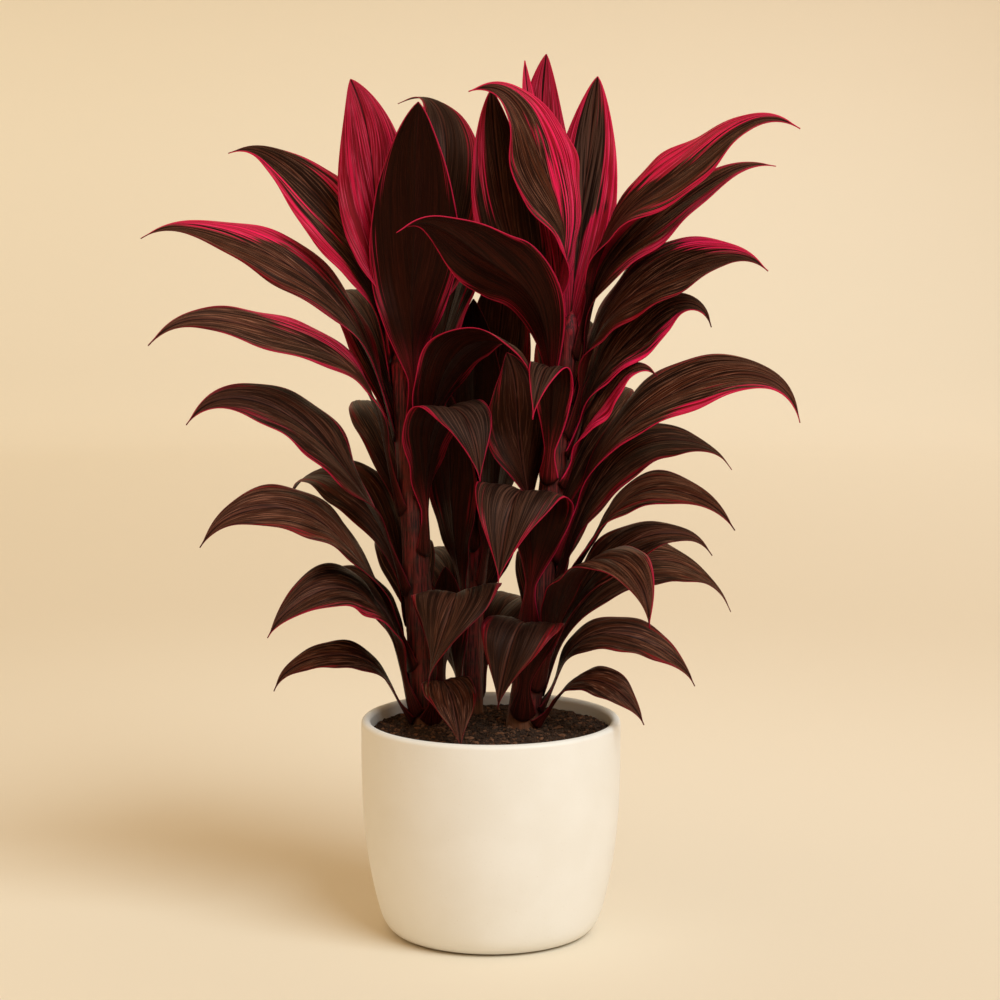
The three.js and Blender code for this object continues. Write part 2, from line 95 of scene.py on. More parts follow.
# Each leaf: height of its base above the mix, azimuth, length and greatest width, then how far it rises
# above level at its base, at each quarter of its length and at its tip, the roll of its blade, the sideways
# sweep of its tip, and how pink it is. Azimuth is from +X towards +Y, and -90 is the front.
CANES = {
    "left": {
        "foot": (-68, 20), "lean": (-31, 10, 420), "height": 400, "radius": (18, 10),
        "leaves": (
            (4, 188, 200, 44, (66, 62, 16, -16, -50), -35, 0, 0.0),
            (4, 290, 172, 56, (76, 46, -14, -46, -56), 0, -16, 0.1),
            (12, 214, 285, 76, (82, 76, 43, -16, -34), -35, 0, 0.1),
            (16, 318, 294, 98, (82, 74, 26, -52, -64), 0, -144, 0.1),
            (38, 150, 250, 60, (82, 68, 30, -16, -46), -20, 0, 0.0),
            (60, 100, 255, 66, (82, 66, 35, -5, -45), 0, 0, 0.0),
            (62, 206, 350, 86, (84, 63, 47, 2, -34), -38, 0, 0.1),
            (108, 135, 300, 72, (84, 70, 40, 0, -45), -20, 0, 0.1),
            (145, 200, 362, 90, (83, 64, 52, 22, -30), -42, 0, 0.2),
            (165, 105, 330, 78, (84, 70, 40, 0, -45), 0, 0, 0.1),
            (187, 325, 280, 86, (88, 83, 58, -47, -86), 0, -40, 0.1),
            (232, 205, 412, 72, (82, 78, 28, 16, -20), -40, 0, 0.3),
            (243, 329, 296, 82, (88, 74, 55, -10, -76), -20, 0, 0.1),
            (258, 114, 338, 78, (86, 76, 52, 15, -30), 0, 0, 0.3),
            (292, 30, 312, 80, (82, 68, 68, 66, 62), 0, 0, 0.3),
            (312, 172, 400, 68, (84, 68, 40, 22, 2), -40, 0, 0.6),
            (316, 312, 356, 96, (84, 86, 80, 82, 76), -50, 0, 0.2),
            (340, 15, 405, 88, (78, 68, 86, 60, 12), 0, 146, 0.4),
            (366, 152, 352, 76, (87, 79, 57, 42, 20), -45, 10, 0.6),
            (397, 168, 304, 80, (88, 89, 91, 86, 70), -72, 0, 1.0),
        ),
    },
    "right": {
        "foot": (34, -2), "lean": (50, 2, 430), "height": 440, "radius": (18, 10),
        "leaves": (
            (4, 333, 165, 44, (64, 58, 10, -30, -42), 35, 0, 0.0),
            (12, 262, 246, 84, (82, 82, 20, -65, -80), 0, -25, 0.1),
            (18, 0, 235, 58, (74, 69, 8, -24, -44), 35, 0, 0.0),
            (36, 32, 345, 70, (80, 58, 24, -20, -40), 35, 0, 0.0),
            (44, 306, 310, 80, (80, 78, 38, -17, -72), 20, 0, 0.1),
            (54, 88, 250, 60, (80, 62, 30, -12, -45), 0, 0, 0.0),
            (66, 7, 266, 58, (77, 69, 50, 12, -32), 33, 0, 0.0),
            (108, 72, 250, 60, (82, 68, 58, 16, -12), 25, 0, 0.0),
            (95, 331, 325, 68, (82, 67, 54, -1, -28), 32, 0, 0.1),
            (108, 240, 293, 100, (88, 84, 45, -60, -80), 0, 26, 0.1),
            (132, 21, 327, 72, (78, 77, 50, 2, -28), 28, 0, 0.1),
            (166, 63, 320, 72, (84, 78, 52, 14, -32), 15, 0, 0.1),
            (204, 172, 202, 74, (84, 74, 78, 80, 62), -66, 0, 0.1),
            (182, 350, 392, 78, (78, 72, 40, 13, -62), 42, 0, 0.3),
            (232, 88, 320, 72, (84, 72, 52, 18, -35), 0, 0, 0.2),
            (268, 248, 214, 45, (86, 83, 66, -37, -80), 0, 10, 0.3),
            (296, 358, 256, 66, (80, 74, 53, 38, -60), 46, 0, 0.4),
            (264, 342, 180, 51, (80, 75, 60, 54, -24), 40, 0, 0.5),
            (317, 344, 331, 93, (84, 80, 46, 25, -12), 44, 0, 0.4),
            (308, 230, 408, 79, (86, 70, 24, 21, -2), 46, 0, 0.1),
            (370, 90, 340, 74, (80, 68, 77, 86, 93), 0, 0, 0.9),
            (386, 130, 342, 64, (80, 74, 72, 77, 92), -32, 0, 0.9),
            (353, 2, 364, 76, (84, 86, 50, 40, 30), 30, 0, 0.5),
            (336, 184, 352, 72, (83, 70, 68, 76, 80), -84, 0, 0.2),
            (402, 342, 382, 84, (88, 80, 42, 44, 4), 42, 0, 0.7),
            (406, 195, 330, 94, (80, 92, 63, 58, 0), -62, 0, 0.9),
            (424, 141, 300, 24, (82, 78, 68, 64, 78), -40, 0, 1.0),
        ),
    },
    "back": {
        "foot": (-22, 70), "lean": (6, 12, 215), "height": 200, "radius": (13, 8),
        "leaves": (
            (15, 60, 230, 72, (78, 66, 25, -20, -50), 0, 0, 0.0),
            (40, 118, 245, 78, (80, 68, 40, -5, -45), 0, 0, 0.0),
            (66, 74, 262, 78, (84, 77, 52, 5, -40), 0, 0, 0.0),
            (100, 218, 262, 60, (84, 78, 84, 86, 80), 22, 0, 0.0),
            (142, 320, 238, 64, (85, 80, 82, 80, 74), 0, 0, 0.0),
            (188, 46, 330, 76, (86, 85, 86, 84, 76), 38, 0, 0.1),
            (16, 208, 150, 44, (84, 76, 80, 86, 84), 52, 0, 0.0),
            (182, 250, 276, 64, (88, 87, 88, 86, 80), 0, 0, 0.1),
        ),
    },
}

# Pink patches of a leaf: on its left (-1), its right (1) or both sides (0), as seen from its base with the
# upper face up, the shares of its length between which the patch lies, how far it reaches in from the margin,
# and how bright it is.
PLAIN_PATCHES = [(0, 0.3, 1.0, 0.03, 0.2)]
PATCHES = {
    "left_03": [(-1, 0.40, 0.68, 0.20, 0.5), (-1, 0.80, 1.0, 0.12, 0.5)],
    "left_05": [(0, 0.3, 1.0, 0.04, 0.4)],
    "left_07": [(1, 0.25, 0.62, 0.12, 0.4), (-1, 0.3, 0.6, 0.05, 0.3)],
    "left_09": [(1, 0.25, 0.60, 0.16, 0.75), (1, 0.72, 0.98, 0.16, 0.6), (-1, 0.5, 0.88, 0.20, 0.6)],
    "left_11": [(0, 0.2, 1.0, 0.05, 0.6)],
    "left_12": [(1, 0.36, 0.70, 0.68, 0.85), (1, 0.7, 0.98, 0.12, 0.5), (-1, 0.35, 0.72, 0.14, 0.6)],
    "left_13": [(0, 0.2, 1.0, 0.05, 0.65)],
    "left_14": [(0, 0.2, 1.0, 0.10, 0.6)],
    "left_15": [(0, 0.1, 1.0, 0.22, 0.6)],
    "left_16": [(1, 0.62, 0.95, 0.85, 1.05), (1, 0.15, 0.62, 0.55, 0.5), (-1, 0.15, 0.4, 0.12, 0.5)],
    "left_17": [(0, 0.1, 1.0, 0.05, 0.7)],
    "left_18": [(0, 0.2, 1.0, 0.16, 0.5)],
    "left_19": [(-1, 0.38, 1.0, 0.46, 1.0), (-1, 0.15, 0.5, 0.18, 0.7), (1, 0.36, 0.74, 0.62, 0.8)],
    "left_20": [(-1, 0.05, 1.0, 1.3, 0.66), (1, 0.3, 1.0, 1.3, 0.66), (1, 0.0, 0.5, 0.5, 0.6)],
    "right_05": [(-1, 0.55, 1.0, 0.18, 0.6), (1, 0.3, 0.8, 0.04, 0.4)],
    "right_09": [(1, 0.4, 0.9, 0.08, 0.45), (-1, 0.3, 0.7, 0.05, 0.4)],
    "right_10": [(0, 0.1, 1.0, 0.03, 0.6)],
    "right_11": [(-1, 0.3, 0.6, 0.12, 0.45), (1, 0.3, 1.0, 0.04, 0.4)],
    "right_13": [(0, 0.1, 1.0, 0.06, 0.5)],
    "right_14": [(1, 0.58, 0.96, 0.34, 0.9), (1, 0.1, 0.5, 0.14, 0.7), (-1, 0.2, 0.5, 0.10, 0.6)],
    "right_16": [(0, 0.1, 1.0, 0.06, 0.8)],
    "right_17": [(1, 0.35, 0.85, 0.30, 0.9), (1, 0.1, 0.4, 0.12, 0.7), (-1, 0.1, 0.6, 0.05, 0.5)],
    "right_18": [(1, 0.15, 0.85, 0.75, 1.0), (-1, 0.3, 0.9, 0.08, 0.6)],
    "right_19": [(-1, 0.72, 0.97, 0.85, 1.1), (-1, 0.15, 0.74, 0.22, 0.6), (1, 0.3, 1.0, 0.04, 0.4)],
    "right_20": [(1, 0.2, 0.5, 0.15, 0.6), (0, 0.1, 1.0, 0.05, 0.75), (-1, 0.15, 0.5, 0.12, 0.6)],
    "right_21": [(0, 0.15, 0.56, 1.2, 0.8), (1, 0.55, 1.0, 0.42, 0.95), (-1, 0.5, 1.0, 0.25, 0.8)],
    "right_22": [(0, 0.1, 1.0, 1.3, 0.65)],
    "right_23": [(-1, 0.2, 0.62, 0.55, 0.65), (0, 0.5, 1.0, 0.18, 0.75)],
    "right_24": [(-1, 0.45, 1.0, 0.42, 0.7), (1, 0.3, 1.0, 0.05, 0.6)],
    "right_25": [(-1, 0.5, 0.97, 0.85, 1.0), (-1, 0.1, 0.5, 0.16, 0.8), (1, 0.3, 0.98, 0.10, 0.75)],
    "right_26": [
        (1, 0.25, 0.80, 0.80, 1.15), (1, 0.7, 1.0, 0.36, 1.0), (0, 0.05, 0.34, 1.0, 0.85),
        (-1, 0.3, 1.0, 0.05, 0.9),
    ],
    "right_27": [(0, 0.0, 1.0, 1.3, 1.1)],
}
PATCH_EDGE = 0.1
PLAIN_SHINE = 0.2
PLAIN_WEIGHT = 1e-3

# How strong the tan streaks of a leaf's upper face are. This is partly painted light and shade: weak on the
# inner leaves and on leaves that lie in shade.
PLAIN_TAN = 0.85
TANS_AND_PAINTED_LIGHT = {
    "left_03": 0.6, "left_04": 0.65, "left_05": 0.7, "left_07": 1.1, "left_09": 0.6, "left_12": 1.2,
    "left_13": 0.9, "left_15": 0.3, "left_16": 1.1, "left_17": 0.3, "left_18": 0.35, "left_19": 0.9,
    "right_02": 0.3, "right_05": 1.2, "right_10": 0.8, "right_13": 0.3, "right_14": 1.35, "right_16": 0.9,
    "right_18": 1.3, "right_19": 0.8, "right_21": 1.1, "right_23": 1.2, "right_24": 0.3, "right_25": 1.0,
    "right_26": 0.9, "back_06": 0.3, "back_08": 0.4,
}
# Painted sheen: how far the brown of a leaf is greyed, as soft light on its glossy upper face looks. The
# others are warm brown.
PAINTED_SHEEN_LEAVES = {
    "left_04": 0.4, "left_11": 0.9, "left_18": 0.5, "right_02": 0.6, "right_10": 0.9, "right_16": 0.8,
    "right_21": 1.0,
}

# Fineness of the leaves: rows along, columns on each half, and how much closer the columns lie by the midrib
LEAF_ROWS = 76
LEAF_COLUMNS = 15
COLUMN_CROWDING = 1.25

# The foot of a clasp, by share of the leaf: pointed below, thinner, and risen at its sides, in millimetres
CLASP_FOOT = (0.0, 0.035)
CLASP_POINT = 9
CLASP_DIP = 0.3
CLASP_THINS = 0.6

# A ruffle along the margin, as a share of the half width, and pleats along the veins, in millimetres
RUFFLE_SHARE = 0.045
RUFFLES = 5.3
RUFFLE_SHIFT = 3
PLEAT_HEIGHT = 0.32
PLEATS = (5.5, 1.9)
BROAD_PLEAT = 0.8
PLEATS_START = (0.05, 0.25)
PLEATS_END = (0.8, 1)
PLEATED_HALF_WIDTH = (5, 20)
VEIN_BEND = 0.2
VEIN_SLANT = 0.9

# Depth and reach of the groove over the midrib and of the ridge under it, in millimetres
GROOVE = (0.6, 1.8)
RIDGE = (0.35, 1.6)
WEB_POWER = 0.5
# How a leaf's number, the length of its name and its height change its streaks
LEAF_SEEDS = (1.7, 0.31, 0.013)


def smoothstep(x, low, high):
    t = np.clip((x - low) / (high - low), 0, 1)
    return t * t * (3 - 2 * t)


def mix(a, b, t):
    return a + (b - a) * t


def along_values(values, share):
    """Values at the shares of a smooth curve through values that are evenly spaced."""
    values = np.asarray(values, float)
    last = len(values) - 1
    place = np.asarray(share, float) * last
    i = np.minimum(np.floor(place).astype(int), last)
    t = place - i
    p0 = values[np.where(i == 0, i, i - 1)]
    p1 = values[i]
    p2 = values[np.minimum(i + 1, last)]
    p3 = values[np.minimum(i + 2, last)]
    v0, v1 = (p2 - p0) / 2, (p3 - p1) / 2
    return (2 * p1 - 2 * p2 + v0 + v1) * t**3 + (3 * p2 - 3 * p1 - 2 * v0 - v1) * t**2 + v0 * t + p1


def pot_radius(height):
    return np.interp(height, [z for _, z in POT_OUTSIDE], [r for r, _ in POT_OUTSIDE])


def bent(x, y, turn, bend, bend_turn):
    return turn * x + bend * np.sin(bend_turn * y)


def soil_height(x, y):
    """The mix's surface as its solid has it: a low dome with shallow waves."""
    reach = np.hypot(x, y) / (POT_RADIUS - POT_WALL)
    waves = np.sin(bent(x, y, *SOIL_WAVES_ALONG_X)) * np.cos(bent(y, x, *SOIL_WAVES_ALONG_Y))
    return SOIL_TOP + SOIL_DOME * (1 - reach * reach) + SOIL_RELIEF * waves


def cane_radius(cane, height):
    low, high = cane["radius"]
    return mix(low, high, np.clip(height / cane["height"], 0, 1))


def stance(cane):
    """The cane's frame: at the mix's surface, leaning as its top says."""
    x, y = cane["foot"]
    turn = Vector((0, 0, 1)).rotation_difference(Vector(cane["lean"]).normalized()).to_matrix().to_4x4()
    return Matrix.Translation((x, y, soil_height(x, y))) @ turn


def placed(points, frame_matrix):
    turn = np.array(frame_matrix.to_3x3())
    return points @ turn.T + np.array(frame_matrix.translation)


# Meshes


def piece(name, points, faces, material, nodes, values=None, smooth=True):
    """A mesh object in metres from points in millimetres. It stands for CAD nodes and rides on the plant."""
    mesh = bpy.data.meshes.new(name)
    faces = [face for group in faces for face in group.tolist()]
    mesh.from_pydata((points * MM).tolist(), [], faces)
    for key, numbers in (values or {}).items():
        attribute = mesh.attributes.new(key, "FLOAT", "POINT")
        attribute.data.foreach_set("value", np.ascontiguousarray(numbers, np.float32).ravel())
    mesh.polygons.foreach_set("use_smooth", [smooth] * len(mesh.polygons))
    mesh.materials.append(material)
    mesh.update()
    made = bpy.data.objects.new(name, mesh)
    bpy.context.scene.collection.objects.link(made)
    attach(made, "root")
    if nodes:
        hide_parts(*nodes)
    return made


def grid_faces(rows, columns, wrap=False):
    """Quads of a grid of points, row by row. wrap joins the last column to the first."""
    row = np.arange(rows - 1)[:, None] * columns
    column = np.arange(columns if wrap else columns - 1)[None, :]
    after = (column + 1) % columns
    corners = (row + column, row + after, row + columns + after, row + columns + column)
    return np.stack([corner.ravel() for corner in corners], 1)


def strip_faces(one, other):
    return np.stack([one[:-1], one[1:], other[1:], other[:-1]], 1)


def turned(profile, sides):
    """Points and faces of a closed solid of revolution. The profile starts and ends on the axis."""
    profile = np.asarray(profile, float)
    ring, ends = profile[1:-1], profile[[0, -1]]
    angle = np.arange(sides) * 2 * math.pi / sides
    x = ring[:, :1] * np.cos(angle)
    y = ring[:, :1] * np.sin(angle)
    z = np.repeat(ring[:, 1:], sides, 1)
    points = np.stack([x, y, z], 2).reshape(-1, 3)
    points = np.vstack([points, [[0, 0, ends[0, 1]], [0, 0, ends[1, 1]]]])
    first, last = len(points) - 2, len(points) - 1
    around = np.arange(sides)
    after = (around + 1) % sides
    top = (len(ring) - 1) * sides
    low_cap = np.stack([np.full(sides, first), after, around], 1)
    high_cap = np.stack([np.full(sides, last), top + around, top + after], 1)
    return points, [grid_faces(len(ring), sides, wrap=True), low_cap, high_cap]


# Leaves. A share is a column of places along a leaf, and across is a row of places from -1 to 1 over it.


def uprightness(rises):
    return smoothstep(rises[-1], *UPRIGHT_TIP)


def midrib(base, azimuth, length, rises, roll, sweep):
    """The midrib's points, each with the blade's side and face directions there."""
    share = np.arange(MIDRIB_STEPS + 1) / MIDRIB_STEPS
    droop = POINT_DROOP * (1 - uprightness(rises)) * smoothstep(share, *POINT_SHARES)
    rise = np.radians(mix(along_values(rises, share), -90, droop))
    heading = np.radians(azimuth + sweep * share**2)
    turn = np.radians(roll * smoothstep(share, *ROLL_SHARES))[:, None]
    along = np.stack([np.cos(rise) * np.cos(heading), np.cos(rise) * np.sin(heading), np.sin(rise)], 1)
    level = np.stack([np.sin(heading), -np.cos(heading), np.zeros_like(heading)], 1)
    upper = np.cross(level, along)
    side = level * np.cos(turn) - upper * np.sin(turn)
    face = upper * np.cos(turn) + level * np.sin(turn)
    steps = np.vstack([np.zeros(3), along[:-1] * (length / MIDRIB_STEPS)])
    return base + np.cumsum(steps, 0), side, face


def half_width(share, width, clasp_radius, rises, pink):
    """Half the leaf's width at its shares: the clasp, the stalk, and the blade that opens and closes."""
    clasp = mix(CLASP_WRAP * clasp_radius, STALK_HALF_WIDTH, smoothstep(share, 0, CLASP_END))
    blade = np.clip((share - STALK_SHARE) / (1 - STALK_SHARE), 0, 1)
    opening = np.sin(np.pi / 2 * np.minimum(blade / BLADE_PEAK, 1))
    opening = opening ** mix(*SWELL_POWERS, smoothstep(pink, 0, YOUNG_PINK))
    closing = np.cos(np.pi / 2 * np.clip((blade - BLADE_PEAK) / (1 - BLADE_PEAK), 0, 1))
    closing = np.maximum(closing, 0) ** mix(*CLOSING_POWERS, uprightness(rises))
    tail = mix(*TAIL_HALF_WIDTH, smoothstep(share, TAIL_START, 1))
    open_half = mix(STALK_HALF_WIDTH, width / 2, opening)
    closed_half = np.maximum(tail, width / 2 * closing)
    blade_half = np.where(blade < BLADE_PEAK, open_half, closed_half)
    return np.where(share < STALK_SHARE, clasp, blade_half)


def section(reach, half, clasp_radius, blade):
    """How far out and up the blade's section lies at a reach from the midrib."""
    step = reach / BEND_STEPS
    out = np.zeros_like(reach)
    up = np.zeros_like(reach)
    for k in range(BEND_STEPS):
        start = (k + 0.5) * step
        fold = math.radians(BLADE_FOLD) * (1 - MARGIN_TURN * start / half)
        bend = mix(start / clasp_radius, fold, blade)
        out += step * np.cos(bend)
        up += step * np.sin(bend)
    return out, up


def vein_place(share, reach):
    """A number that stays the same along a vein, which leaves the midrib and nears the margin."""
    return reach * (1 - VEIN_BEND + VEIN_BEND * reach) - VEIN_SLANT * share


def relief(share, across, half, phase):
    """How high the blade's waves, ruffled margin and pleats stand."""
    reach = np.abs(across)
    turns = 2 * np.pi * share
    wave = WAVE_SHARE * half * reach**2 * np.sin(WAVES * turns + phase + across)
    ruffle = RUFFLE_SHARE * half * reach**3 * np.sin(RUFFLES * turns + RUFFLE_SHIFT * (phase + across))
    vein = 2 * np.pi * vein_place(share, reach)
    pleats = np.sin(PLEATS[0] * vein) + BROAD_PLEAT * np.sin(PLEATS[1] * vein + phase + np.sign(across))
    pleated = smoothstep(reach, *PLEATS_START) * (1 - smoothstep(reach, *PLEATS_END))
    return wave + ruffle + PLEAT_HEIGHT * pleats * pleated * smoothstep(half, *PLEATED_HALF_WIDTH)


def blade_surface(leaf, clasp_radius, phase, share, across):
    """Middle surface of a leaf, half its width, and how far it has opened into its blade."""
    height, azimuth, length, width, rises, roll, sweep, pink = leaf
    angle = math.radians(azimuth)
    base = np.array([clasp_radius * math.cos(angle), clasp_radius * math.sin(angle), height])
    place = share[:, 0] * MIDRIB_STEPS
    stations = np.arange(MIDRIB_STEPS + 1)
    at, side, face = (
        np.stack([np.interp(place, stations, line[:, k]) for k in range(3)], 1)[:, None, :]
        for line in midrib(base, azimuth, length, rises, roll, sweep)
    )
    half = half_width(share, width, clasp_radius, rises, pink)
    blade = smoothstep(share, *BLADE_OPENS)
    out, up = section(np.abs(across) * half, half, clasp_radius, blade)
    up = up + blade * relief(share, across, half, phase)
    middle = at + side * (np.sign(across) * out)[:, :, None] + face * up[:, :, None]
    foot = 1 - smoothstep(share, *CLASP_FOOT)
    middle[:, :, 2] += foot * CLASP_POINT * (across**2 - CLASP_DIP)
    return middle, half, blade


def blade_thickness(share, reach, blade):
    """How thick the leaf is from its rib to its margin. The foot of its clasp is thinner."""
    rib = along_values(MIDRIB_THICKNESS, share)
    margin = np.minimum(rib, MARGIN_THICKNESS)
    web = mix(rib, margin, np.minimum(1, reach**WEB_POWER))
    foot = 1 - smoothstep(share, *CLASP_FOOT)
    return mix(mix(rib, margin, reach), web, blade) * (1 - CLASP_THINS * foot)


def hump(distance, height, reach):
    return height * np.exp(-((distance / reach) ** 2))


def blade_points(middle, thickness, rib_distance, blade):
    """Points of the upper face, grooved over the midrib, and then of the under face, ridged below it."""
    normal = np.cross(np.gradient(middle, axis=1), np.gradient(middle, axis=0))
    normal /= np.linalg.norm(normal, axis=2, keepdims=True)
    groove = blade * hump(rib_distance, *GROOVE)
    ridge = blade * hump(rib_distance, *RIDGE)
    upper = middle + normal * (thickness / 2 - groove)[:, :, None]
    under = middle - normal * (thickness / 2 + ridge)[:, :, None]
    return np.concatenate([upper.reshape(-1, 3), under.reshape(-1, 3)])


def blade_faces(rows, columns):
    """Faces of a closed blade: its two grids and the strips around them."""
    count = rows * columns
    top = grid_faces(rows, columns)
    left = np.arange(rows) * columns
    right = left + columns - 1
    start = np.arange(columns)
    end = count - columns + start
    margins = [strip_faces(left, left + count), strip_faces(right, right + count)[:, ::-1]]
    ends = [strip_faces(start, start + count)[:, ::-1], strip_faces(end, end + count)]
    return [top, top[:, ::-1] + count, *margins, *ends]


def markings(name, share, across):
    """How far inside its pink each point of a leaf is, and how bright the pink is there."""
    cover = np.zeros(np.broadcast(share, across).shape)
    weight = np.full(cover.shape, PLAIN_WEIGHT)
    bright = PLAIN_SHINE * weight
    for place, start, end, reach, shine in PATCHES.get(name, PLAIN_PATCHES):
        within = np.ones_like(share)
        if start > 0:
            within = smoothstep(share, start - PATCH_EDGE, start + PATCH_EDGE)
        if end < 1:
            within = within * (1 - smoothstep(share, end - PATCH_EDGE, end + PATCH_EDGE))
        part = reach * within * (np.sign(across) != -place)
        cover = np.maximum(cover, part)
        bright = bright + shine * part
        weight = weight + part
    return np.abs(across) - 1 + cover, bright / weight


def leaf_values(name, leaf, index, share, across, half):
    """What a leaf's finish reads at each of its points."""
    height, _, _, width = leaf[:4]
    reach = np.abs(across)
    grid = np.broadcast_to(share, (share.size, across.size))
    blush, bright = markings(name, share, across)
    values = {
        "along": grid,
        "vein": vein_place(grid, reach) * width / 2,
        "rib_distance": reach * half,
        "margin_distance": (1 - reach) * half,
        "blush": blush,
        "bright": bright,
        "tan_and_painted_light": TANS_AND_PAINTED_LIGHT.get(name, PLAIN_TAN),
        "painted_sheen": PAINTED_SHEEN_LEAVES.get(name, 0.0),
        "seed": LEAF_SEEDS[0] * index + LEAF_SEEDS[1] * len(name) + LEAF_SEEDS[2] * height,
    }
    values = {key: np.tile(np.broadcast_to(number, grid.shape).ravel(), 2) for key, number in values.items()}
    values["upper_side"] = np.repeat([1.0, 0.0], grid.size)
    return values


def leaf_piece(name, cane, leaf, index, material):
    """One leaf as a closed blade with a ribbed underside and a grooved upper side."""
    clasp_radius = cane_radius(cane, leaf[0]) + SCAR_HEIGHT + GAP + MIDRIB_THICKNESS[0] / 2
    share = np.linspace(0, 1, LEAF_ROWS)[:, None]
    even = np.linspace(-1, 1, 2 * LEAF_COLUMNS + 1)[None, :]
    across = np.sign(even) * np.abs(even) ** COLUMN_CROWDING
    reach = np.abs(across)
    middle, half, blade = blade_surface(leaf, clasp_radius, WAVE_SHIFT * index, share, across)
    thickness = blade_thickness(share, reach, blade)
    points = placed(blade_points(middle, thickness, reach * half, blade), stance(cane))
    faces = blade_faces(share.size, across.size)
    values = leaf_values(name, leaf, index, share, across, half)
    return piece("leaf_" + name, points, faces, material, ["leaf_" + name], values)


# Finishes

# Sockets of a node that mixes two colours
MIX_FACTOR = 0
MIX_ONE = 6
MIX_OTHER = 7
MIX_RESULT = 2


def opaque(colour):
    return colour if isinstance(colour, bpy.types.NodeSocket) else (*colour, 1)


class Finish:
    """A material whose nodes are added one by one."""

    def __init__(self, name, roughness, specular=0.5):
        self.material = bpy.data.materials.new(name)
        self.material.use_nodes = True
        self.tree = self.material.node_tree
        self.shader = self.tree.nodes["Principled BSDF"]
        self.shader.inputs["Roughness"].default_value = roughness
        self.shader.inputs["Specular IOR Level"].default_value = specular

    def put(self, socket, value):
        if isinstance(value, bpy.types.NodeSocket):
            self.tree.links.new(value, socket)
        else:
            socket.default_value = value

    def node(self, kind, inputs, output=0, **settings):
        made = self.tree.nodes.new("ShaderNode" + kind)
        for key, value in settings.items():
            setattr(made, key, value)
        for key, value in inputs.items():
            self.put(made.inputs[key], value)
        return made.outputs[output]

    def value(self, name):
        return self.node("Attribute", {}, "Fac", attribute_name=name)

    def math(self, operation, *values):
        return self.node("Math", dict(enumerate(values)), operation=operation)

    def times(self, one, other):
        return self.math("MULTIPLY", one, other)

    def sum(self, one, share, other):
        """So much of one, and the other."""
        return self.math("MULTIPLY_ADD", one, share, other)

    def apart(self, value, place):
        return self.math("ABSOLUTE", self.math("SUBTRACT", value, place))

    def rest(self, value):
        return self.math("SUBTRACT", 1.0, value)

    def step(self, value, low, high, start=0.0, end=1.0):
        """start at low, end at high, and smooth between them."""
        inputs = {"Value": value, "From Min": low, "From Max": high, "To Min": start, "To Max": end}
        return self.node("MapRange", inputs, interpolation_type="SMOOTHSTEP")

    def blend(self, factor, one, other):
        """One colour where the factor is 0, and the other where it is 1."""
        inputs = {MIX_FACTOR: factor, MIX_ONE: opaque(one), MIX_OTHER: opaque(other)}
        return self.node("Mix", inputs, MIX_RESULT, data_type="RGBA")

    def noise(self, vector, scale, detail=2.0, roughness=0.5):
        inputs = {"Vector": vector, "Scale": scale, "Detail": detail, "Roughness": roughness}
        return self.node("TexNoise", inputs)

    def here(self):
        return self.node("TexCoord", {}, "Object")

    def height(self, here):
        return self.node("SeparateXYZ", {"Vector": here}, "Z")

    def roughness(self, value):
        self.put(self.shader.inputs["Roughness"], value)

    def bump(self, height, strength, distance):
        normal = self.node("Bump", {"Height": height, "Strength": strength, "Distance": distance})
        self.put(self.shader.inputs["Normal"], normal)

    def colour(self, value):
        self.put(self.shader.inputs["Base Color"], value)


LEAF_ROUGHNESS = 0.45
LEAF_SPECULAR = 0.12
LEAF_SHEEN = (1.0, 0.66, 0.52)

# Streaks along the veins: so many to a millimetre across and to a leaf's length, and a shift of their noise
COARSE_STREAKS = (0.46, 2.6, 0.0)
FINE_STREAKS = (1.2, 4.5, 7.3)
BROAD_STREAKS = (0.09, 2.2, 3.1)
STREAK_NOISE = (1.0, 2.5, 0.55)
COARSE_SHARE = 0.55
LEAF_BUMP = (0.6, 0.0012)
BUMP_SHARES = (1.2, 0.5)

# Colours of a leaf. A pair is the dark and the light of the streaks, or a dull and a hot pink.
BROWN = ((0.0095, 0.0022, 0.0009), (0.096, 0.025, 0.0100))
BROWN_CLOUD = (0.050, 0.0110, 0.0052)
BROWN_SHADE = (0.0120, 0.0032, 0.0016)
BROWN_LINE = (0.38, 0.16, 0.095)
# Painted sheen: the grey of soft light on a glossy upper face, as the dark and the light of the streaks
PAINTED_SHEEN_BROWN = ((0.0088, 0.0040, 0.0030), (0.092, 0.045, 0.031))
MAROON = ((0.0080, 0.0012, 0.0005), (0.038, 0.0052, 0.0022))
MAROON_CLOUD = (0.024, 0.0028, 0.0012)
MAROON_LINE = (0.13, 0.022, 0.012)
PINK = ((0.24, 0.0040, 0.0080), (0.97, 0.0160, 0.110))
PINK_SHADE = ((0.045, 0.0020, 0.0024), (0.26, 0.0040, 0.014))
PINK_CLOUD = ((0.10, 0.004, 0.006), (0.45, 0.006, 0.028))
PINK_LINE = ((0.40, 0.05, 0.05), (1.0, 0.12, 0.26))
PINK_BELOW = (0.11, 0.0035, 0.0090)
STALK_SHADE = ((0.016, 0.0030, 0.0020), (0.050, 0.0040, 0.0040))
STALK_LIGHT = ((0.120, 0.0130, 0.0100), (0.34, 0.0130, 0.0230))
BESIDE_RIB = ((0.12, 0.034, 0.022), (0.45, 0.02, 0.05))
CREASE = (0.010, 0.0022, 0.0014)
EDGE = ((0.10, 0.0050, 0.0090), (0.72, 0.0140, 0.075))
LEAF_FOOT = (0.022, 0.0040, 0.0028)

# How strongly the clouds, the pale lines and the other tints show
BROWN_CLOUD_SHARE = 0.4
BROWN_LINE_SHARE = 0.55
# How strongly the painted sheen greys the brown
PAINTED_SHEEN_SHARE = 0.85
MAROON_CLOUD_SHARE = 0.4
MAROON_LINE_SHARE = 0.12
PINK_CLOUD_SHARE = 0.35
PINK_LINE_SHARE = 0.45
PINK_BELOW_SHARE = 0.4

